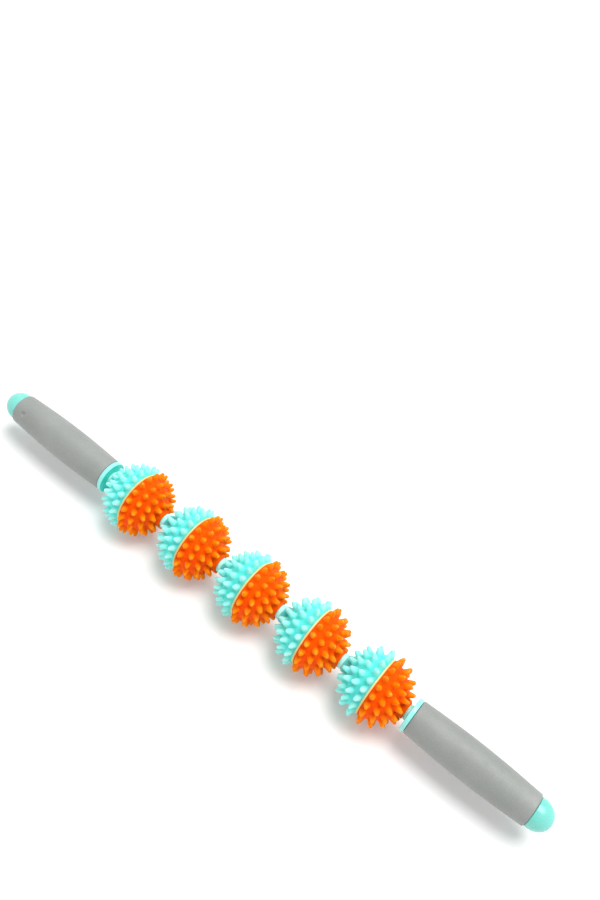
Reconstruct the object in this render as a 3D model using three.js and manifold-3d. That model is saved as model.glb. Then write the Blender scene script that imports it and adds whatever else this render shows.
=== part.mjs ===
// A roller massage stick: five spiked balls that spin on a steel rod between two handles.
// Millimetres, +Z up. The rod lies along X, and the origin is at the middle of the middle ball.
import * as THREE from "three";
import { ConvexHull } from "three/addons/math/ConvexHull.js";
import { mergeVertices } from "three/addons/utils/BufferGeometryUtils.js";
import Module from "manifold-3d";

// Clearances
const seatGap = 0.3; // between faces that meet, and round whatever slides over the rod
const cutOverrun = 3; // how far a cut runs past the face that it opens

// Balls
const ballCount = 5;
const ballGap = 4.84; // clear space between the spikes of two neighbouring balls
const ballTurn = 37; // degrees that each ball has rolled on from the one before it
const shellRadius = 20;
const shellWall = 2.4;
const spikeLength = 5;
const spikeBaseRadius = 2.9;
const spikeTipRadius = 1.2;
const spikeBaseSides = 4;
const spikeTipSides = 3;
const spikeGap = 0.2; // least gap between the feet of neighbouring spikes in a ring
const ringGap = 0.6; // between the feet of two rings of spikes
const seamMargin = 0.4; // between the seam and the feet of the first ring
const bossWall = 1; // boss at each pole, round the bore
const bossEdge = 0.4;
const bossStandOut = 0.75; // how far it stands out past the tips of the last ring
const bossSides = 12;
const hubWall = 2; // tube inside each half that sits round the bush
const spigotLength = 1.5; // lip of the left half that enters the right one
const spigotWall = 1;
const seamSides = 24;
const hollowSteps = 2;

// Bush: the bearing tube of each ball
const bushWall = 1;
const bushStandOut = 0.4; // how far it stands out of each boss
const bushFlange = 2; // thickness of the middle flange that the halves trap
const boreSides = 10; // round the bore, the hollow, the bushes and the spacers

// Rod and its screws
const rodRadius = 3.5;
const rodChamfer = 0.6;
const rodSides = 12;
const screwRadius = 2;
const screwLength = 12; // how much of the shank is inside the rod
const tapSpare = 2; // how much deeper its hole is
const screwHeadRadius = 3.6;
const screwHeadHeight = 2.4;
const screwKeyRadius = 1.7; // corners of the hexagonal key hole
const screwKeyDepth = 1.3;
const screwKeySides = 6;
const washerThickness = 1;
const washerRoom = 1; // round the washer, in the handle's socket

// Spacer tubes
const spacerWall = 1.5;

// Handles
const collarGap = 3; // between the outer balls' spikes and the collar
const collarRadius = 11.6;
const collarThickness = 3;
const collarEdge = 0.5;
const coreRadius = 8; // tube under the grip
const socketRadius = 6.2; // open end of the core, for the cap's stem
const socketDepth = 17;
const gripLength = 84;
const gripCollarRadius = 11.5;
const gripCapRadius = 10.9;
const gripSwell = 1.4; // how far the middle stands out of a straight taper
const gripSteps = 7;
const capRadius = 10;
const capRim = 2.5; // straight part before the dome
const capDome = 10.4;
const capStemLength = 8;
const capStemWall = 1.5;
const capSteps = 4;
const roundSides = 18;

// Round the rod, from its skin outwards
const slideRadius = rodRadius + seatGap;
const bushRadius = slideRadius + bushWall;
const boreRadius = bushRadius + seatGap;
const hubRadius = boreRadius + hubWall;
const bossRadius = boreRadius + bossWall;

// Latitudes of the rings of spikes, in radians from the seam: as many rings as find room outside the boss,
// and as many spikes as find room in each
const spikeFootTurn = Math.asin(spikeBaseRadius / shellRadius);
const spikeSideTurn = Math.asin((spikeBaseRadius * Math.cos(Math.PI / spikeBaseSides)) / shellRadius);
const firstLatitude = spikeFootTurn + seamMargin / shellRadius;
const latitudeStep = (2 * spikeBaseRadius + ringGap) / shellRadius;
const latitudeRoom = Math.acos(bossRadius / shellRadius) - spikeSideTurn - firstLatitude;
const ringCount = 1 + Math.floor(latitudeRoom / latitudeStep);
const ringLatitudes = Array.from({ length: ringCount }, (_, ring) => firstLatitude + ring * latitudeStep);
const spikesPerRing = ringLatitudes.map((latitude) => {
  return Math.floor((2 * Math.PI * shellRadius * Math.cos(latitude)) / (2 * spikeBaseRadius + spikeGap));
});

// Places along X
const tipRadius = shellRadius + spikeLength;
const ballReach = tipRadius * Math.sin(ringLatitudes.at(-1));
const ballPitch = 2 * ballReach + ballGap;
const lastBallX = ((ballCount - 1) / 2) * ballPitch;
const bossEndX = ballReach + bossStandOut;
const poleSpikeBase = ringOnSphere(spikeDirections().at(-1), shellRadius, spikeBaseRadius, spikeBaseSides);
const poleX = Math.max(...poleSpikeBase.map((corner) => corner.x)); // the flat inside the last ring of spikes
const bushEnd = bossEndX + bushStandOut;
const collarFaceX = lastBallX + ballReach + collarGap;
const gripStartX = collarFaceX + collarThickness + seatGap;
const gripEndX = gripStartX + gripLength;
const socketFloorX = gripEndX - socketDepth;
const rodEndX = socketFloorX - seatGap;
const washerX = socketFloorX + seatGap;
const screwHeadX = washerX + washerThickness + seatGap;
const capStartX = gripEndX + seatGap;

const wasm = await Module();
wasm.setup();

const mintPlastic = new THREE.MeshStandardMaterial({ color: 0x7fe3d2, roughness: 0.42 });
const orangePlastic = new THREE.MeshStandardMaterial({ color: 0xff5a0f, roughness: 0.42 });
const greyRubber = new THREE.MeshStandardMaterial({ color: 0x9ca39d, roughness: 0.75 });
const bushPlastic = new THREE.MeshStandardMaterial({ color: 0x74d2c4, roughness: 0.5 });
const brightSteel = new THREE.MeshStandardMaterial({ color: 0xb9bcc0, roughness: 0.3, metalness: 1 });

// A closed geometry as a solid that can be joined and cut.
function toSolid(geometry) {
  const bare = new THREE.BufferGeometry().setAttribute("position", geometry.getAttribute("position"));
  if (geometry.index) bare.setIndex(geometry.index);
  const merged = mergeVertices(bare, seatGap / 1000);
  return new wasm.Manifold(
    new wasm.Mesh({
      numProp: 3,
      vertProperties: merged.attributes.position.array,
      triVerts: new Uint32Array(merged.index.array),
    }),
  );
}

// A solid back as a geometry with flat faces.
function toGeometry(solid) {
  const { numProp, vertProperties, triVerts } = solid.getMesh();
  const corners = [];
  for (const v of triVerts) corners.push(...vertProperties.subarray(numProp * v, numProp * v + 3));
  const geometry = new THREE.BufferGeometry();
  geometry.setAttribute("position", new THREE.Float32BufferAttribute(corners, 3));
  geometry.computeVertexNormals();
  return geometry;
}

// Turns a profile of [x, radius] points round the X axis. A profile off the axis is closed on itself.
function revolve(profile, sides) {
  const points = profile.map(([x, radius]) => new THREE.Vector2(radius, x));
  if (THREE.ShapeUtils.area(points) < 0) points.reverse();
  if (points[0].x > 0 || points.at(-1).x > 0) points.push(points[0].clone());
  return new THREE.LatheGeometry(points, sides).rotateZ(-Math.PI / 2);
}

// The ring-shaped profile of a plain tube.
function tubeProfile(startX, endX, innerRadius, outerRadius) {
  return [
    [startX, innerRadius],
    [endX, innerRadius],
    [endX, outerRadius],
    [startX, outerRadius],
  ];
}

// Points along a quarter of an ellipse, from its full radius at startX to nothing at its far end.
function domeProfile(startX, length, radius, steps) {
  return Array.from({ length: steps + 1 }, (_, i) => {
    const turn = ((Math.PI / 2) * i) / steps;
    return [startX + length * Math.sin(turn), i < steps ? radius * Math.cos(turn) : 0];
  });
}

// The directions of the spikes of the half on the +X side. Each ring is staggered against the one before it.
function spikeDirections() {
  return ringLatitudes.flatMap((latitude, ring) => {
    const count = spikesPerRing[ring];
    return Array.from({ length: count }, (_, i) => {
      const turn = (2 * Math.PI * (i + ((ring + 1) % 2) / 2)) / count;
      const out = Math.cos(latitude);
      return new THREE.Vector3(Math.sin(latitude), out * Math.sin(turn), -out * Math.cos(turn));
    });
  });
}

// A ring of points on a sphere, round one of the spikes' directions, with a straight side towards the pole.
function ringOnSphere(direction, sphereRadius, ringRadius, sides) {
  const side = new THREE.Vector3(1, 0, 0).cross(direction).normalize();
  const up = direction.clone().cross(side);
  const centre = direction.clone().multiplyScalar(Math.sqrt(sphereRadius ** 2 - ringRadius ** 2));
  return Array.from({ length: sides }, (_, i) => {
    const turn = (Math.PI * (2 * i + 1)) / sides + Math.PI / 2;
    return centre
      .clone()
      .addScaledVector(side, ringRadius * Math.cos(turn))
      .addScaledVector(up, ringRadius * Math.sin(turn));
  });
}

// A ring of points round the X axis.
function ringPoints(x, radius, sides) {
  return Array.from({ length: sides }, (_, i) => {
    const turn = (2 * Math.PI * i) / sides;
    return new THREE.Vector3(x, radius * Math.cos(turn), radius * Math.sin(turn));
  });
}

// The facets of the hull of some points, without those that lie wholly in one of the given bases.
function openHull(points, bases) {
  const baseOf = new Map(bases.flatMap((base, i) => base.map((corner) => [corner, i])));
  return new ConvexHull().setFromPoints(points).faces.flatMap(({ edge }) => {
    const facet = [edge.prev, edge, edge.next].map((side) => side.head().point);
    const [a, b, c] = facet.map((corner) => baseOf.get(corner));
    return a !== undefined && a === b && b === c ? [] : facet;
  });
}

// A solid half ball with its spikes: the hull of all the spike bases and the seam, open at each base, where
// the spike's own open hull closes it.
function spikedHalf() {
  const directions = spikeDirections();
  const bases = directions.map((d) => ringOnSphere(d, shellRadius, spikeBaseRadius, spikeBaseSides));
  const tips = directions.map((d) => ringOnSphere(d, tipRadius, spikeTipRadius, spikeTipSides));
  const seamX = seatGap / 2;
  const seamRadius = Math.sqrt(shellRadius ** 2 - seamX ** 2);
  const corners = openHull([...bases.flat(), ...ringPoints(seamX, seamRadius, seamSides)], bases);
  bases.forEach((base, i) => corners.push(...openHull([...base, ...tips[i]], [base])));
  return toSolid(new THREE.BufferGeometry().setFromPoints(corners));
}

// What is cut out of a half: the bore, the room for the bush's flange and the hollow round the hub, which
// leaves the wall's full thickness under the flat at the pole.
function hollowProfile(mouthRadius, mouthDepth) {
  const insideRadius = shellRadius - shellWall;
  const seamX = seatGap / 2;
  const hubEndX = bushFlange / 2 + seatGap;
  const roofX = Math.min(Math.sqrt(insideRadius ** 2 - hubRadius ** 2), poleX - shellWall);
  const startTurn = Math.asin(roofX / insideRadius);
  const endTurn = Math.asin((seamX + mouthDepth) / insideRadius);
  const wall = Array.from({ length: hollowSteps + 1 }, (_, i) => {
    const turn = startTurn + ((endTurn - startTurn) * i) / hollowSteps;
    return [insideRadius * Math.sin(turn), insideRadius * Math.cos(turn)];
  });
  return [
    [-cutOverrun, 0],
    [bossEndX + cutOverrun, 0],
    [bossEndX + cutOverrun, boreRadius],
    [hubEndX, boreRadius],
    [hubEndX, hubRadius],
    ...wall,
    [seamX + mouthDepth, mouthRadius],
    [-cutOverrun, mouthRadius],
  ];
}

// The boss at the pole, rooted in the shell's wall. The bore is cut through it afterwards.
function poleBoss() {
  return revolve(
    [
      [poleX - shellWall, 0],
      [poleX - shellWall, bossRadius],
      [bossEndX - bossEdge, bossRadius],
      [bossEndX, bossRadius - bossEdge],
      [bossEndX, 0],
    ],
    bossSides,
  );
}

// The left half has a lip at the seam, and the right half the recess that takes it.
function shellHalf(hasLip) {
  const insideRadius = shellRadius - shellWall;
  const lipRadius = insideRadius + spigotWall;
  const solid = spikedHalf().add(toSolid(poleBoss()));
  const hollow = hasLip ? hollowProfile(insideRadius, 0) : hollowProfile(lipRadius + seatGap, spigotLength);
  const opened = solid.subtract(toSolid(revolve(hollow, boreSides)));
  if (!hasLip) return opened;
  const lip = tubeProfile(-spigotLength + seatGap, shellWall, insideRadius, lipRadius);
  return opened.add(toSolid(revolve(lip, boreSides)));
}

function bush() {
  const half = bushFlange / 2;
  return revolve(
    [
      [-bushEnd, slideRadius],
      [bushEnd, slideRadius],
      [bushEnd, bushRadius],
      [half, bushRadius],
      [half, hubRadius],
      [-half, hubRadius],
      [-half, bushRadius],
      [-bushEnd, bushRadius],
    ],
    boreSides,
  );
}

function rod() {
  const tapRadius = screwRadius + seatGap;
  const tapEndX = rodEndX - screwLength - tapSpare;
  const halfProfile = [
    [rodEndX - rodChamfer, rodRadius],
    [rodEndX, rodRadius - rodChamfer],
    [rodEndX, tapRadius],
    [tapEndX, tapRadius],
    [tapEndX, 0],
  ];
  const mirrored = halfProfile.map(([x, radius]) => [-x, radius]).reverse();
  return revolve([...mirrored, ...halfProfile], rodSides);
}

// The moulded handle under the grip, for the +X end: a collar, a tube and an open socket at its far end.
function handleCore() {
  const collarEndX = collarFaceX + collarThickness;
  return revolve(
    [
      [collarFaceX, slideRadius],
      [collarFaceX, collarRadius - collarEdge],
      [collarFaceX + collarEdge, collarRadius],
      [collarEndX, collarRadius],
      [collarEndX, coreRadius],
      [gripEndX, coreRadius],
      [gripEndX, socketRadius],
      [socketFloorX, socketRadius],
      [socketFloorX, slideRadius],
    ],
    roundSides,
  );
}

// The soft sleeve: a straight taper with a swell in the middle.
function grip() {
  const outside = Array.from({ length: gripSteps + 1 }, (_, i) => {
    const along = i / gripSteps;
    const taper = gripCollarRadius + (gripCapRadius - gripCollarRadius) * along;
    return [gripStartX + gripLength * along, taper + gripSwell * Math.sin(Math.PI * along)];
  });
  const insideRadius = coreRadius + seatGap;
  return revolve([[gripStartX, insideRadius], ...outside, [gripEndX, insideRadius]], roundSides);
}

// The domed cap, whose hollow stem plugs the end of the handle.
function endCap() {
  const stemRadius = socketRadius - seatGap;
  const stemEndX = capStartX - capStemLength;
  const holeRadius = stemRadius - capStemWall;
  return revolve(
    [
      [capStartX + capRim, 0],
      [capStartX + capRim, holeRadius],
      [stemEndX, holeRadius],
      [stemEndX, stemRadius],
      [capStartX, stemRadius],
      [capStartX, capRadius],
      ...domeProfile(capStartX + capRim, capDome, capRadius, capSteps),
    ],
    roundSides,
  );
}

function washer() {
  const holeRadius = screwRadius + seatGap;
  const outerRadius = socketRadius - washerRoom;
  return revolve(tubeProfile(washerX, washerX + washerThickness, holeRadius, outerRadius), boreSides);
}

function endScrew() {
  const headEndX = screwHeadX + screwHeadHeight;
  const body = revolve(
    [
      [rodEndX - screwLength, 0],
      [rodEndX - screwLength, screwRadius],
      [screwHeadX, screwRadius],
      [screwHeadX, screwHeadRadius],
      [headEndX, screwHeadRadius],
      [headEndX, 0],
    ],
    boreSides,
  );
  const keyHole = [
    [headEndX - screwKeyDepth, 0],
    [headEndX - screwKeyDepth, screwKeyRadius],
    [headEndX + cutOverrun, screwKeyRadius],
    [headEndX + cutOverrun, 0],
  ];
  return toGeometry(toSolid(body).subtract(toSolid(revolve(keyHole, screwKeySides))));
}

const stick = new THREE.Group();

function addMesh(parent, name, geometry, material) {
  const mesh = new THREE.Mesh(geometry, material);
  mesh.name = name;
  parent.add(mesh);
  return mesh;
}

addMesh(stick, "axle_rod", rod(), brightSteel);

// Balls, numbered from the left. Both halves are mouldings of one shape, the left one turned round.
const lippedHalf = toGeometry(shellHalf(true)).rotateZ(Math.PI);
const recessedHalf = toGeometry(shellHalf(false));
const bushShape = bush();
for (let i = 0; i < ballCount; i++) {
  const ball = new THREE.Group();
  ball.position.x = i * ballPitch - lastBallX;
  ball.rotation.x = THREE.MathUtils.degToRad(i * ballTurn);
  stick.add(ball);
  const name = "ball_" + (i + 1);
  addMesh(ball, name + "_mint_shell", lippedHalf, mintPlastic);
  addMesh(ball, name + "_orange_shell", recessedHalf, orangePlastic);
  addMesh(ball, name + "_bush", bushShape, bushPlastic);
}

// Spacer tubes: one between each two bushes, and one between each outer bush and its collar.
const bushEnds = Array.from({ length: ballCount }, (_, i) => i * ballPitch - lastBallX);
const stackStarts = [-collarFaceX, ...bushEnds.map((x) => x + bushEnd)];
const stackEnds = [...bushEnds.map((x) => x - bushEnd), collarFaceX];
stackStarts.forEach((startX, i) => {
  const outerRadius = slideRadius + spacerWall;
  const profile = tubeProfile(startX + seatGap, stackEnds[i] - seatGap, slideRadius, outerRadius);
  addMesh(stick, "spacer_" + (i + 1), revolve(profile, boreSides), bushPlastic);
});

// Handles: the left one is the right one turned round.
for (const side of ["right", "left"]) {
  const handle = new THREE.Group();
  handle.rotation.z = side === "left" ? Math.PI : 0;
  stick.add(handle);
  addMesh(handle, "handle_core_" + side, handleCore(), mintPlastic);
  addMesh(handle, "grip_" + side, grip(), greyRubber);
  addMesh(handle, "end_cap_" + side, endCap(), mintPlastic);
  addMesh(handle, "washer_" + side, washer(), brightSteel);
  addMesh(handle, "end_screw_" + side, endScrew(), brightSteel);
}

export default stick;
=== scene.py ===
import math

import bmesh
import bpy
from mathutils import Matrix, Vector


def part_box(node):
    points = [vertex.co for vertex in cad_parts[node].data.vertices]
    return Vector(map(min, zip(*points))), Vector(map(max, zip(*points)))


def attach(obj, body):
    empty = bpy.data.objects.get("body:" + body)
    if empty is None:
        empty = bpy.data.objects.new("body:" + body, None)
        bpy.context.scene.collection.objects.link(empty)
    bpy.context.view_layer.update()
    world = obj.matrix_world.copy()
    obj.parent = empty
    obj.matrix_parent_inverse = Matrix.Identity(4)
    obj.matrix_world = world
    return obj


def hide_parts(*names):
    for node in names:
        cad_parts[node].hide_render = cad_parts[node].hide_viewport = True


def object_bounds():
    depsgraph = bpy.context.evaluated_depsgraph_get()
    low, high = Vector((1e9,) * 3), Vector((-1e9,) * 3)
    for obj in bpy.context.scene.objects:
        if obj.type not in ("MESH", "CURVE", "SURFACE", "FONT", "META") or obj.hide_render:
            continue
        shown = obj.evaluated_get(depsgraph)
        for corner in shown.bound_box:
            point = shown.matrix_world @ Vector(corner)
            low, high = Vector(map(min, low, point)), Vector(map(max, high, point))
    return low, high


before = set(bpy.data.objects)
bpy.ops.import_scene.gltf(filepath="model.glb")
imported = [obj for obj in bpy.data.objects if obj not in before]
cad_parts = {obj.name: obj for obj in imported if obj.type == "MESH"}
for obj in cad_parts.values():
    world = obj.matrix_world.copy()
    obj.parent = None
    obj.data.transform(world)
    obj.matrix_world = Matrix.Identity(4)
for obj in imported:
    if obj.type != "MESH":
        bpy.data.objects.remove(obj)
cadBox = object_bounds()
print("frame loaded:", len(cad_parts), "solids")

mm = 0.001  # every mesh is shaped in millimetres and shrunk to metres at the end
turnedRound = Matrix.Rotation(math.pi, 4, "Z")  # the left-hand pieces are the right-hand ones turned round


# Camera

cameraPlace = {
    "position": (0.1444, -0.3088, 0.4890),
    "aim": (-0.0522, 0.1209, 0.0),  # where the view axis meets the level of the rod
    "roll": 17.46,  # degrees, which lays the stick along the picture's diagonal
    "lens": 36.475,
    "sensor": 36.0,
}


def makeCamera(place):
    data = bpy.data.cameras.new("camera")
    data.lens = place["lens"]
    data.sensor_width = place["sensor"]
    camera = bpy.data.objects.new("camera", data)
    bpy.context.scene.collection.objects.link(camera)
    sight = Vector(place["aim"]) - Vector(place["position"])
    facing = sight.to_track_quat("-Z", "Y").to_matrix().to_4x4()
    roll = Matrix.Rotation(math.radians(place["roll"]), 4, "Z")
    camera.matrix_world = Matrix.Translation(place["position"]) @ facing @ roll
    bpy.context.scene.camera = camera


makeCamera(cameraPlace)
print("camera placed")


# Mesh helpers

mergeReach = 0.0001  # corners this close are one corner
axisReach = 0.001  # corners this close to the X axis lie on it


def nodeBox(node):  # a solid's lowest and highest corners, in millimetres
    low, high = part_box(node)
    return low / mm, high / mm


def turned(profile, sides):  # spins a closed outline of (x, radius) points round the X axis
    bm = bmesh.new()
    corners = [bm.verts.new((x, 0, radius)) for x, radius in profile]
    edges = [bm.edges.new(pair) for pair in zip(corners, corners[1:] + corners[:1])]
    bmesh.ops.spin(bm, geom=corners + edges, cent=(0, 0, 0), axis=(1, 0, 0), angle=2 * math.pi,
                   steps=sides, use_merge=True)
    bmesh.ops.remove_doubles(bm, verts=bm.verts, dist=mergeReach)
    onAxis = [e for e in bm.edges if all(math.hypot(v.co.y, v.co.z) < axisReach for v in e.verts)]
    bmesh.ops.delete(bm, geom=onAxis, context="EDGES")
    bmesh.ops.recalc_face_normals(bm, faces=bm.faces)
    return bm


def roundEdges(bm, size, sharp=50):  # rounds every edge sharper than this many degrees
    edges = [e for e in bm.edges if len(e.link_faces) == 2 and e.calc_face_angle() > math.radians(sharp)]
    bmesh.ops.bevel(bm, geom=edges, offset=size["edge"], offset_type="OFFSET", segments=size["edgeSteps"],
                    profile=0.5, affect="EDGES", material=-1, clamp_overlap=True)


def finishPiece(bm, name, material, body, slot, node=None, place=Matrix.Identity(4)):
    mesh = bpy.data.meshes.new(name)
    bm.to_mesh(mesh)
    mesh.transform(Matrix.Scale(mm, 4) @ place)
    mesh.polygons.foreach_set("use_smooth", [True] * len(mesh.polygons))
    mesh.materials.append(material)
    piece = bpy.data.objects.new(name, mesh)
    bpy.context.scene.collection.objects.link(piece)
    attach(piece, body)
    if node:
        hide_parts(node)
    return piece


def finishTurned(*details):  # as finishPiece, with flat faces kept flat beside their rounded edges
    weighted = finishPiece(*details).modifiers.new("even_shading", "WEIGHTED_NORMAL")
    weighted.keep_sharp = True


# Material helpers

def newMaterial(name, **sockets):
    material = bpy.data.materials.new(name)
    material.use_nodes = True
    shader = material.node_tree.nodes["Principled BSDF"]
    for socket, value in sockets.items():
        shader.inputs[socket.replace("_", " ")].default_value = value
    return material, material.node_tree, shader


def objectPlace(tree, drawnOut=1):  # patterns get this many times longer along the rod than across it
    coordinates = tree.nodes.new("ShaderNodeTexCoord")
    mapping = tree.nodes.new("ShaderNodeMapping")
    mapping.inputs["Scale"].default_value = (1, drawnOut, drawnOut)
    tree.links.new(coordinates.outputs["Object"], mapping.inputs["Vector"])
    return mapping.outputs["Vector"]


def noise(tree, place, size, detail=3.0, roughness=0.5):  # size is the spacing of the pattern, in metres
    node = tree.nodes.new("ShaderNodeTexNoise")
    node.inputs["Scale"].default_value = 1 / size
    node.inputs["Detail"].default_value = detail
    node.inputs["Roughness"].default_value = roughness
    tree.links.new(place, node.inputs["Vector"])
    return node.outputs["Fac"]


def ramp(tree, value, low, high, ends=(0.3, 0.7)):  # low and high are the colours or greys at the two ends
    node = tree.nodes.new("ShaderNodeValToRGB")
    for mark, position, tone in zip(node.color_ramp.elements, ends, (low, high)):
        mark.position = position
        mark.color = (*tone, 1) if isinstance(tone, tuple) else (tone, tone, tone, 1)
    tree.links.new(value, node.inputs["Fac"])
    return node.outputs["Color"]


def mixed(tree, first, second, share, mode="MIX"):  # second may be a plain colour, and share a plain number
    node = tree.nodes.new("ShaderNodeMix")
    node.data_type = "RGBA"
    node.blend_type = mode
    tree.links.new(first, node.inputs["A"])
    if isinstance(second, tuple):
        node.inputs["B"].default_value = (*second, 1)
    else:
        tree.links.new(second, node.inputs["B"])
    if isinstance(share, float):
        node.inputs["Factor"].default_value = share
    else:
        tree.links.new(share, node.inputs["Factor"])
    return node.outputs["Result"]


def bump(tree, height, strength, distance, under=None):
    node = tree.nodes.new("ShaderNodeBump")
    node.inputs["Strength"].default_value = strength
    node.inputs["Distance"].default_value = distance
    tree.links.new(height, node.inputs["Height"])
    if under:
        tree.links.new(under, node.inputs["Normal"])
    return node.outputs["Normal"]


# Moulded plastic of the ball halves

mintHalf = {
    "foot": (0.12, 0.82, 0.72),  # skin round the feet of the spikes, a darker teal as painted shade between them
    "body": (0.34, 0.82, 0.74),  # this tone and the next drift into each other over the spikes
    "other": (0.39, 0.83, 0.76),
    "tip": (0.46, 0.84, 0.79),  # end of a spike, paler as rubbed wear and as a painted highlight
    "shine": (0.8, 1.0, 0.97),  # tint of its gloss
    "shineLevel": 0.16,
    "polish": (0.36, 0.48),  # roughness, from smooth patches to dull ones
    "footPolish": (0.6, 0.7),
    "softness": 1.0,  # how much of the light goes into the plastic
    "softReach": (0.15, 1.0, 0.9),  # how far its red, green and blue go, in softScales
    "softScale": 0.006,  # metres
}
# same keys as mintHalf: the foot tone is darker and redder as painted shade, the tip tone is rubbed wear
# plus a painted highlight
orangeHalf = {
    "foot": (0.92, 0.09, 0.001),
    "body": (0.93, 0.215, 0.001),
    "other": (0.94, 0.255, 0.002),
    "tip": (0.96, 0.38, 0.025),
    "shine": (1.0, 0.5, 0.08),
    "shineLevel": 0.25,
    "polish": (0.34, 0.46),
    "footPolish": (0.65, 0.75),
    "softness": 0.5,
    "softReach": (1.0, 0.25, 0.1),
    "softScale": 0.002,
}


def mouldedPlastic(name, look):
    material, tree, shader = newMaterial(
        name, Subsurface_Weight=look["softness"], Subsurface_Radius=look["softReach"],
        Subsurface_Scale=look["softScale"], Specular_IOR_Level=look["shineLevel"],
        Specular_Tint=(*look["shine"], 1))
    place = objectPlace(tree)
    crown = tree.nodes.new("ShaderNodeAttribute")  # 0 at a spike's foot, 1 at its tip
    crown.attribute_name = "crown"
    # the foot mask lays the darker foot tone round each spike's root as painted shade, and also sets the
    # rougher foot polish
    foot = ramp(tree, crown.outputs["Fac"], 1.0, 0.0, ends=(0.0, 0.45))
    tip = ramp(tree, crown.outputs["Fac"], 0.0, 1.0, ends=(0.5, 1.0))
    drift = noise(tree, place, size=0.02, detail=2.0)
    body = ramp(tree, drift, look["body"], look["other"], ends=(0.35, 0.65))
    # paler tip tone: rubbed wear and a painted highlight on the spike ends
    tipWearAndHighlight = ramp(tree, noise(tree, place, size=0.004), look["tip"], look["body"], ends=(0.35, 0.6))
    footShaded = mixed(tree, body, look["foot"], foot)
    tree.links.new(mixed(tree, footShaded, tipWearAndHighlight, tip), shader.inputs["Base Color"])
    polish = ramp(tree, noise(tree, place, size=0.003, detail=4.0), *look["polish"])
    footPolish = ramp(tree, noise(tree, place, size=0.005), *look["footPolish"])
    tree.links.new(mixed(tree, polish, footPolish, foot), shader.inputs["Roughness"])
    speckle = noise(tree, place, size=0.0006, detail=5.0, roughness=0.6)
    grain = bump(tree, speckle, strength=0.25, distance=0.0002)
    swell = noise(tree, place, size=0.009, detail=1.0)
    tree.links.new(bump(tree, swell, strength=0.15, distance=0.001, under=grain), shader.inputs["Normal"])
    return material


shellMint = mouldedPlastic("shell_mint", mintHalf)
shellOrange = mouldedPlastic("shell_orange", orangeHalf)


# Smooth plastic of the caps, collars, bearings and seams

capLook = {
    "low": (0.17, 0.62, 0.54),  # two tones that drift into each other
    "high": (0.21, 0.66, 0.58),
    "polish": (0.22, 0.36),
    "softness": 0.2,
}
# the collar's deep teal is painted shade of its face beside the ball, and its paler rim is a painted
# highlight
collarLookWithPaintedLight = {
    "low": (0.03, 0.68, 0.59),
    "high": (0.05, 0.72, 0.64),
    "polish": (0.25, 0.4),
    "softness": 0.1,
    "rim": (0.30, 0.80, 0.75),  # painted highlight: paler tone past the rim's radius
    "rimHighlightRadius": 0.0115,  # metres from the rod's axis
    "rimHighlightBlur": 0.0004,
}
bearingLook = {
    "low": (0.38, 0.82, 0.73),
    "high": (0.44, 0.86, 0.78),
    "polish": (0.35, 0.5),
    "softness": 0.15,
}
seamLook = {
    "low": (0.74, 0.64, 0.18),
    "high": (0.82, 0.72, 0.25),
    "polish": (0.35, 0.5),
    "softness": 0.3,
}


def offAxis(tree):  # distance from the rod's axis, in metres
    coordinates = tree.nodes.new("ShaderNodeTexCoord")
    flattened = tree.nodes.new("ShaderNodeVectorMath")
    flattened.operation = "MULTIPLY"
    flattened.inputs[1].default_value = (0, 1, 1)
    length = tree.nodes.new("ShaderNodeVectorMath")
    length.operation = "LENGTH"
    tree.links.new(coordinates.outputs["Object"], flattened.inputs[0])
    tree.links.new(flattened.outputs["Vector"], length.inputs[0])
    return length.outputs["Value"]


def smoothPlastic(name, look):
    material, tree, shader = newMaterial(
        name, Subsurface_Weight=look["softness"], Subsurface_Radius=(0.5, 1.0, 0.9), Subsurface_Scale=0.002,
        Specular_IOR_Level=0.5)
    place = objectPlace(tree)
    drift = noise(tree, place, size=0.03, detail=2.0)
    colour = ramp(tree, drift, look["low"], look["high"], ends=(0.35, 0.65))
    # painted highlight: the paler tone past the collar rim's radius
    if "rim" in look:
        reach = tree.nodes.new("ShaderNodeMapRange")
        reach.inputs["From Min"].default_value = look["rimHighlightRadius"] - look["rimHighlightBlur"]
        reach.inputs["From Max"].default_value = look["rimHighlightRadius"]
        tree.links.new(offAxis(tree), reach.inputs["Value"])
        colour = mixed(tree, colour, look["rim"], reach.outputs["Result"])
    tree.links.new(colour, shader.inputs["Base Color"])
    scuffs = noise(tree, objectPlace(tree, drawnOut=6), size=0.004, detail=6.0, roughness=0.7)
    tree.links.new(ramp(tree, scuffs, *look["polish"], ends=(0.4, 0.75)), shader.inputs["Roughness"])
    grain = bump(tree, noise(tree, place, size=0.0008, detail=4.0), strength=0.12, distance=0.0002)
    tree.links.new(grain, shader.inputs["Normal"])
    return material


handleMint = smoothPlastic("handle_mint", capLook)
collarMintPaintedLight = smoothPlastic("collar_mint_painted_light", collarLookWithPaintedLight)
bearingMint = smoothPlastic("bearing_mint", bearingLook)
seamCream = smoothPlastic("seam_cream", seamLook)


# Rubber and steel

rubberLook = {
    "low": (0.245, 0.261, 0.246),
    "high": (0.285, 0.300, 0.282),
    "speck": 0.86,  # how dark the darkest specks are, as a share of the tone under them
    "polish": (0.50, 0.62),
}
steelLook = {"low": (0.52, 0.53, 0.55), "high": (0.66, 0.67, 0.68), "polish": (0.2, 0.38)}


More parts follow.
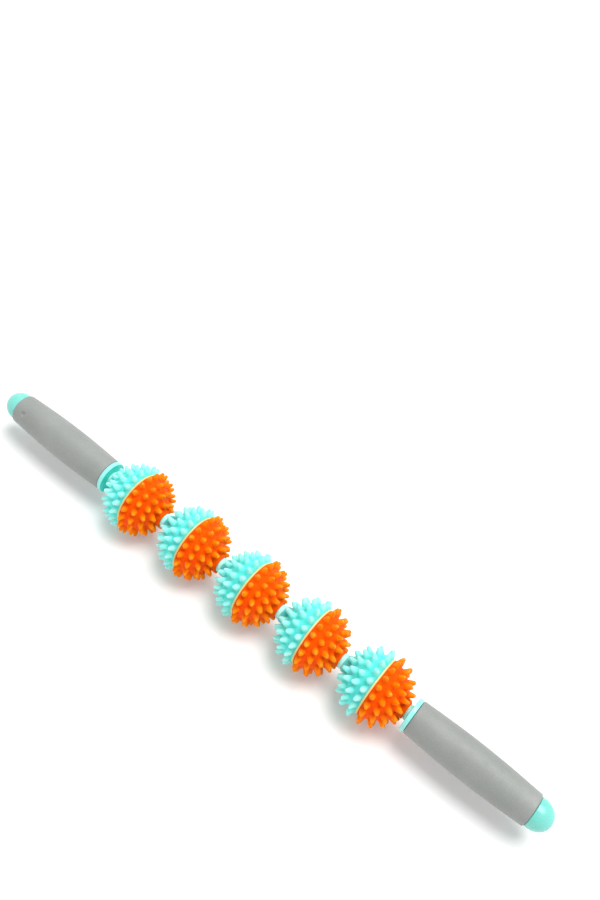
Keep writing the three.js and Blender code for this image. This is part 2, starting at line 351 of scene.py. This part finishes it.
def gripRubber(look):
    material, tree, shader = newMaterial("grip_rubber", Specular_IOR_Level=0.8, Sheen_Weight=0.12,
                                         Sheen_Roughness=0.6)
    place = objectPlace(tree)
    body = ramp(tree, noise(tree, place, size=0.025), look["low"], look["high"])
    specks = ramp(tree, noise(tree, place, size=0.0007, detail=2.0), look["speck"], 1.0)
    tree.links.new(mixed(tree, body, specks, 1.0, "MULTIPLY"), shader.inputs["Base Color"])
    wear = noise(tree, place, size=0.004, detail=4.0)
    tree.links.new(ramp(tree, wear, *look["polish"]), shader.inputs["Roughness"])
    pores = bump(tree, noise(tree, place, size=0.0005, roughness=0.7), strength=0.5, distance=0.0003)
    swell = noise(tree, place, size=0.006, detail=2.0)
    tree.links.new(bump(tree, swell, strength=0.12, distance=0.001, under=pores), shader.inputs["Normal"])
    return material


def turnedSteel(look):
    material, tree, shader = newMaterial("turned_steel", Metallic=1.0)
    drawn = noise(tree, objectPlace(tree, drawnOut=40), size=0.02, detail=4.0)
    tree.links.new(ramp(tree, drawn, look["low"], look["high"]), shader.inputs["Base Color"])
    tree.links.new(ramp(tree, drawn, *look["polish"]), shader.inputs["Roughness"])
    tree.links.new(bump(tree, drawn, strength=0.1, distance=0.0001), shader.inputs["Normal"])
    return material


rubber = gripRubber(rubberLook)
steel = turnedSteel(steelLook)
for name in ("axle_rod", "washer_left", "washer_right", "end_screw_left", "end_screw_right"):
    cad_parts[name].data.materials.clear()
    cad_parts[name].data.materials.append(steel)
print("materials made")


# Ball halves

ballRow = {"count": 5, "turn": 37.0}  # degrees that each ball has rolled on from the one before it
ballHalf = {
    "radius": 20.0,  # skin between the spikes
    "wall": 2.4,
    "wallSteps": 8,  # along the inside of the wall
    "rings": 4,
    "footRadius": 2.9,  # room that a spike takes up
    "spikeGap": 0.2,  # between the feet of one ring
    "ringGap": 0.6,  # between the feet of two rings
    "seamMargin": 0.4,  # between the seam and the first ring
    "rootRadius": 2.75,
    "rootSides": 10,
    "growth": (  # how a spike rises from its root: inwards and upwards, step by step
        (0.42, 0.28), (0.26, 0.75), (0.74, 2.95), (0.22, 0.58), (0.34, 0.39), (0.42, 0.15)),
    "boreRadius": 5.15,
    "hubRadius": 7.1,  # tube round the bearing, inside the half
    "pocketEnd": 1.3,  # where that tube starts, past the bearing's flange
    "bossRadius": 5.95,
    "bossEdge": 0.35,
    "bossTurns": (0, 30, 60, 90),  # degrees, round the boss's edge
    "roundSides": 96,
    "seamStart": 0.32,  # from the middle of the ball to the half's flat face
}


def spikeDirections(half):  # each ring is staggered against the one before it
    radius, foot = half["radius"], half["footRadius"]
    for ring in range(half["rings"]):
        arc = math.asin(foot / radius) * radius + half["seamMargin"] + ring * (2 * foot + half["ringGap"])
        latitude = arc / radius
        count = int(2 * math.pi * radius * math.cos(latitude) / (2 * foot + half["spikeGap"]))
        for i in range(count):
            turn = 2 * math.pi * (i + (ring + 1) % 2 / 2) / count
            out = math.cos(latitude)
            yield Vector((math.sin(latitude), out * math.sin(turn), -out * math.cos(turn)))


def otherLeg(radius, leg):  # of the right-angled triangle between the ball's centre and its skin
    return math.sqrt(radius ** 2 - leg ** 2)


def addCircle(bm, radius, sides, place):
    return bmesh.ops.create_circle(bm, segments=sides, radius=radius, matrix=place)["verts"]


def addCircles(bm, half):  # on the skin: every spike's root, then the seam and the foot of the boss
    radius, root, start, boss = half["radius"], half["rootRadius"], half["seamStart"], half["bossRadius"]
    for direction in spikeDirections(half):
        facing = direction.to_track_quat("Z", "Y").to_matrix().to_4x4()
        place = Matrix.Translation(direction * otherLeg(radius, root)) @ facing
        yield addCircle(bm, root, half["rootSides"], place)
    for x, ringRadius in ((start, otherLeg(radius, start)), (otherLeg(radius, boss), boss)):
        place = Matrix.Translation((x, 0, 0)) @ Matrix.Rotation(math.pi / 2, 4, "Y")
        yield addCircle(bm, ringRadius, half["roundSides"], place)


def facesInside(circle):  # the hull's faces on the flat disc inside a circle
    corners = set(circle)
    faces = [f for f in circle[0].link_faces if corners.issuperset(f.verts)]
    reached = set(faces)
    while faces:
        near = {g for f in faces for e in f.edges for g in e.link_faces if corners.issuperset(g.verts)}
        faces = list(near - reached)
        reached |= near
    return list(reached)


def grow(bm, faces, steps):  # each step insets the faces and raises them
    for inwards, upwards in steps:
        bmesh.ops.inset_individual(bm, faces=faces, thickness=inwards, depth=upwards, use_even_offset=True)


def bossSteps(half, height):  # straight up from the skin, round the edge and in to the bore
    edge = half["bossEdge"]
    steps = [(0, height - edge)]
    turns = [math.radians(turn) for turn in half["bossTurns"]]
    for before, after in zip(turns, turns[1:]):
        inwards, upwards = math.cos(before) - math.cos(after), math.sin(after) - math.sin(before)
        steps.append((edge * inwards, edge * upwards))
    return steps + [(half["bossRadius"] - edge - half["boreRadius"], 0)]


def hollowSteps(half):  # from the flat face along the inside of the wall and back down the tube to its end
    inside, count = half["radius"] - half["wall"], half["wallSteps"]
    hubTurn = math.acos(half["hubRadius"] / inside)
    wallStart = math.asin(half["seamStart"] / inside)
    turns = [wallStart + (hubTurn - wallStart) * i / count for i in range(count + 1)]
    outline = [(half["seamStart"], half["radius"])]
    outline += [(inside * math.sin(turn), inside * math.cos(turn)) for turn in turns]
    outline += [(half["pocketEnd"], half["hubRadius"]), (half["pocketEnd"], half["boreRadius"])]
    return [(before[1] - after[1], before[0] - after[0]) for before, after in zip(outline, outline[1:])]


def makeBallHalf(half, bossEnd):
    bm = bmesh.new()
    circles = list(addCircles(bm, half))
    bmesh.ops.delete(bm, geom=list(bm.edges), context="EDGES_FACES")
    bmesh.ops.convex_hull(bm, input=bm.verts)
    *roots, mouth, top = [
        bmesh.ops.dissolve_faces(bm, faces=facesInside(circle))["region"][0] for circle in circles]
    grow(bm, roots, half["growth"])
    # height along each spike; the shell material paints shade at the foot and a highlight at the tip from it
    crown = bm.verts.layers.float.new("crown")
    rise = sum(upwards for _, upwards in half["growth"])
    for vert in bm.verts:
        vert[crown] = min(max((vert.co.length - half["radius"]) / rise, 0), 1)
    grow(bm, [top], bossSteps(half, bossEnd - otherLeg(half["radius"], half["bossRadius"])))
    grow(bm, [mouth], hollowSteps(half))
    rims = list(mouth.edges) + list(top.edges)
    bmesh.ops.delete(bm, geom=[mouth, top], context="FACES_ONLY")
    bmesh.ops.bridge_loops(bm, edges=rims)
    bmesh.ops.recalc_face_normals(bm, faces=bm.faces)
    return bm


halfShape = makeBallHalf(ballHalf, nodeBox("ball_3_orange_shell")[1].x)
print("ball half shaped:", len(halfShape.faces), "faces")


# Seam rings, bearings and the five balls

seamRing = {
    "radius": 20.28,
    "depth": 2.6,
    "clearance": 0.02,  # to the flat face of either half
    "lip": 0.5,  # from the middle of the ball over either skin, to the feet of the spikes
    "lipDepth": 0.38,
    "edge": 0.09,  # less than half the lip's overhang, so that its roundings don't meet
    "edgeSteps": 2,
    "sides": 128,
}
bearing = {"inner": 3.8, "flange": 2.0, "wall": 1.0, "edge": 0.25, "edgeSteps": 2, "sides": 64}


def makeSeamRing(ring, halfWidth):
    start, lip, outside = halfWidth - ring["clearance"], ring["lip"], ring["radius"]
    inside, bed = outside - ring["depth"], outside - ring["lipDepth"]
    bm = turned([
        (-start, inside), (start, inside), (start, bed), (lip, bed),
        (lip, outside), (-lip, outside), (-lip, bed), (-start, bed)], ring["sides"])
    roundEdges(bm, ring)
    return bm


def makeBearing(size, halfLength, flangeRadius):
    inner, outer, half = size["inner"], size["inner"] + size["wall"], size["flange"] / 2
    bm = turned([
        (-halfLength, inner), (halfLength, inner), (halfLength, outer), (half, outer),
        (half, flangeRadius), (-half, flangeRadius), (-half, outer), (-halfLength, outer)], size["sides"])
    roundEdges(bm, size)
    return bm


for number in range(1, ballRow["count"] + 1):
    body = f"ball_{number}"
    low, high = nodeBox(f"{body}_bush")
    rolled = Matrix.Rotation(math.radians((number - 1) * ballRow["turn"]), 4, "X")
    centre = Matrix.Translation(((low.x + high.x) / 2, 0, 0)) @ rolled
    finishPiece(halfShape, f"{body}_mint_half", shellMint, body, "shell_mint", f"{body}_mint_shell",
                centre @ turnedRound)
    finishPiece(halfShape, f"{body}_orange_half", shellOrange, body, "shell_orange", f"{body}_orange_shell",
                centre)
    ring = makeSeamRing(seamRing, ballHalf["seamStart"])
    finishTurned(ring, f"{body}_seam_ring", seamCream, body, "shell_mint", None, centre)
    bush = makeBearing(bearing, (high.x - low.x) / 2, high.z)
    finishTurned(bush, f"{body}_bearing", bearingMint, body, "bearing_plastic", f"{body}_bush", centre)
print("balls made")


# Spacer tubes on the rod, one more than there are balls

spacerReach = 0.25  # how far each tube runs into the solids' gap at either end

for number in range(1, ballRow["count"] + 2):
    low, high = nodeBox(f"spacer_{number}")
    start, end, inner = low.x - spacerReach, high.x + spacerReach, bearing["inner"]
    tube = turned([(start, inner), (end, inner), (end, high.z), (start, high.z)], bearing["sides"])
    roundEdges(tube, bearing)
    finishTurned(tube, f"spacer_tube_{number}", bearingMint, "root", "bearing_plastic", f"spacer_{number}")
print("spacers made")


# Handles

handle = {
    "collarThickness": 3.0,
    "coreRadius": 8.0,
    "socketRadius": 6.2,
    "rodHole": 3.8,
    "socketDepth": 17.0,
    "edge": 0.45,
    "edgeSteps": 4,
    "sides": 128,  # of the sleeve and the cap as well
}
sleeve = {
    "collarEnd": 11.5,  # its radius beside the collar
    "capEnd": 10.9,  # and beside the cap
    "swell": 1.4,
    "bore": 8.3,
    "steps": 48,
    "gap": 0.3,  # the solids' gap at either end
    "seam": 0.2,  # the fine line that shows there
    "edge": 0.7,
    "edgeSteps": 4,
}
gateMark = {  # where the sleeve's mould was filled
    "fromCap": 8.4,
    "turn": 51.0,  # degrees from straight up
    "radius": 2.8,
    "depth": 1.3,
    "cuts": 3,  # in each edge near the mark
    "near": 2,  # how many radii out those edges go
    "strip": 3,  # how many radii along the sleeve the skin is searched for the mark's middle
}
cap = {
    "radius": 10.0,
    "rim": 2.5,
    "stemRadius": 5.9,
    "stemHole": 4.4,
    "steps": 24,
    "edge": 0.6,
    "edgeSteps": 3,
}


def makeCore(size, low, high):
    collarEnd, floor = low.x + size["collarThickness"], high.x - size["socketDepth"]
    hole, socket, outside = size["rodHole"], size["socketRadius"], size["coreRadius"]
    bm = turned([
        (low.x, hole), (low.x, high.z), (collarEnd, high.z), (collarEnd, outside),
        (high.x, outside), (high.x, socket), (floor, socket), (floor, hole)], size["sides"])
    roundEdges(bm, size)
    return bm


def makeSleeve(size, low, high, sides):
    reach = size["gap"] - size["seam"]
    start, end, steps = low.x - reach, high.x + reach, size["steps"]
    outline = [(start, size["bore"])]
    for i in range(steps + 1):
        along = i / steps
        taper = size["collarEnd"] + (size["capEnd"] - size["collarEnd"]) * along
        outline.append((start + (end - start) * along, taper + size["swell"] * math.sin(math.pi * along)))
    bm = turned(outline + [(end, size["bore"])], sides)
    roundEdges(bm, size)
    return bm


def pressGateMark(bm, mark, capEnd, skinRadius):  # a shallow dimple in what lies outside skinRadius
    turn = math.radians(mark["turn"])
    outwards = Vector((0, math.sin(turn), math.cos(turn)))
    x, radius = capEnd - mark["fromCap"], mark["radius"]
    skin = [v for v in bm.verts if abs(v.co.x - x) < mark["strip"] * radius and v.co.yz.length > skinRadius]
    spot = max(skin, key=lambda v: v.co.dot(outwards) - abs(v.co.x - x)).co.copy()
    near = {e for v in skin if (v.co - spot).length < mark["near"] * radius for e in v.link_edges}
    bmesh.ops.subdivide_edges(bm, edges=list(near), cuts=mark["cuts"], use_grid_fill=True)
    for vert in bm.verts:
        away = (vert.co - spot).length / radius
        if away < 1:
            vert.co -= outwards * mark["depth"] * (1 + math.cos(math.pi * away)) / 2


def makeCap(size, low, high, start, sides):
    rimEnd, radius, stem, hole = start + size["rim"], size["radius"], size["stemRadius"], size["stemHole"]
    outline = [(rimEnd, 0), (rimEnd, hole), (low.x, hole), (low.x, stem), (start, stem), (start, radius)]
    for i in range(size["steps"] + 1):
        turn = math.pi / 2 * i / size["steps"]
        outline.append((rimEnd + (high.x - rimEnd) * math.sin(turn), radius * math.cos(turn)))
    outline[-1] = (high.x, 0)
    bm = turned(outline, sides)
    roundEdges(bm, size)
    return bm


core = makeCore(handle, *nodeBox("handle_core_right"))
grip = makeSleeve(sleeve, *nodeBox("grip_right"), handle["sides"])
gripEnd = nodeBox("grip_right")[1].x
pressGateMark(grip, gateMark, gripEnd, (sleeve["bore"] + sleeve["capEnd"]) / 2)
endCap = makeCap(cap, *nodeBox("end_cap_right"), gripEnd + sleeve["gap"], handle["sides"])
for side, turn in (("right", Matrix.Identity(4)), ("left", turnedRound)):
    finishTurned(core, f"handle_tube_{side}", collarMintPaintedLight, "root", "handle_mint", f"handle_core_{side}", turn)
    finishTurned(grip, f"grip_sleeve_{side}", rubber, "root", "grip_rubber", f"grip_{side}", turn)
    finishTurned(endCap, f"dome_cap_{side}", handleMint, "root", "handle_mint", f"end_cap_{side}", turn)
print("handles made")


# Floor, world and lamp

studioFloor = {
    "size": 12.0,
    "bounce": 0.93,  # its white as light meets it
    "seen": 0.80,  # its white in the picture, before its lift
    "lift": 0.15,  # how much it glows in the picture, so that its shadows stay pale
}
worldLight = 0.60
lamp = {
    "from": (0.125, 0.18, 1.0),
    "spread": 40.0,  # degrees of the sky that it fills
    "strength": 2.95,
}


def seenDirectly(tree):  # 1 for camera, glossy and transmission rays
    path = tree.nodes.new("ShaderNodeLightPath")
    total = path.outputs["Is Camera Ray"]
    for ray in ("Is Glossy Ray", "Is Transmission Ray"):
        add = tree.nodes.new("ShaderNodeMath")
        add.operation = "MAXIMUM"
        tree.links.new(total, add.inputs[0])
        tree.links.new(path.outputs[ray], add.inputs[1])
        total = add.outputs[0]
    return total


def makeFloor(look):
    bm = bmesh.new()
    bmesh.ops.create_grid(bm, x_segments=1, y_segments=1, size=look["size"] / 2,
                          matrix=Matrix.Translation((0, 0, cadBox[0].z)))
    mesh = bpy.data.meshes.new("floor")
    bm.to_mesh(mesh)
    floor = bpy.data.objects.new("floor", mesh)
    bpy.context.scene.collection.objects.link(floor)
    material, tree, shader = newMaterial("floor_white", Roughness=0.9, Specular_IOR_Level=0.1,
                                         Emission_Color=(1, 1, 1, 1))
    seen = seenDirectly(tree)
    white = ramp(tree, seen, look["bounce"], look["seen"], ends=(0.0, 1.0))
    tree.links.new(white, shader.inputs["Base Color"])
    lift = tree.nodes.new("ShaderNodeMath")
    lift.operation = "MULTIPLY"
    lift.inputs[1].default_value = look["lift"]
    tree.links.new(seen, lift.inputs[0])
    tree.links.new(lift.outputs[0], shader.inputs["Emission Strength"])
    mesh.materials.append(material)


def makeWorld(strength):  # lights the object at this strength and shows white behind it
    world = bpy.data.worlds.new("studio")
    world.use_nodes = True
    bpy.context.scene.world = world
    tree = world.node_tree
    background = tree.nodes["Background"]
    background.inputs["Color"].default_value = (1, 1, 1, 1)
    brightness = tree.nodes.new("ShaderNodeMapRange")
    brightness.inputs["To Min"].default_value = strength
    brightness.inputs["To Max"].default_value = 1.0
    tree.links.new(seenDirectly(tree), brightness.inputs["Value"])
    tree.links.new(brightness.outputs["Result"], background.inputs["Strength"])


def makeLamp(look):  # a broad soft light from far off, as even on the floor as on the stick
    data = bpy.data.lights.new("overhead", "SUN")
    data.angle = math.radians(look["spread"])
    data.energy = look["strength"]
    light = bpy.data.objects.new("overhead", data)
    bpy.context.scene.collection.objects.link(light)
    light.rotation_euler = Vector(look["from"]).to_track_quat("Z", "Y").to_euler()


makeFloor(studioFloor)
makeWorld(worldLight)
makeLamp(lamp)
bpy.context.scene.view_settings.view_transform = "Standard"
print("floor and lamp placed")
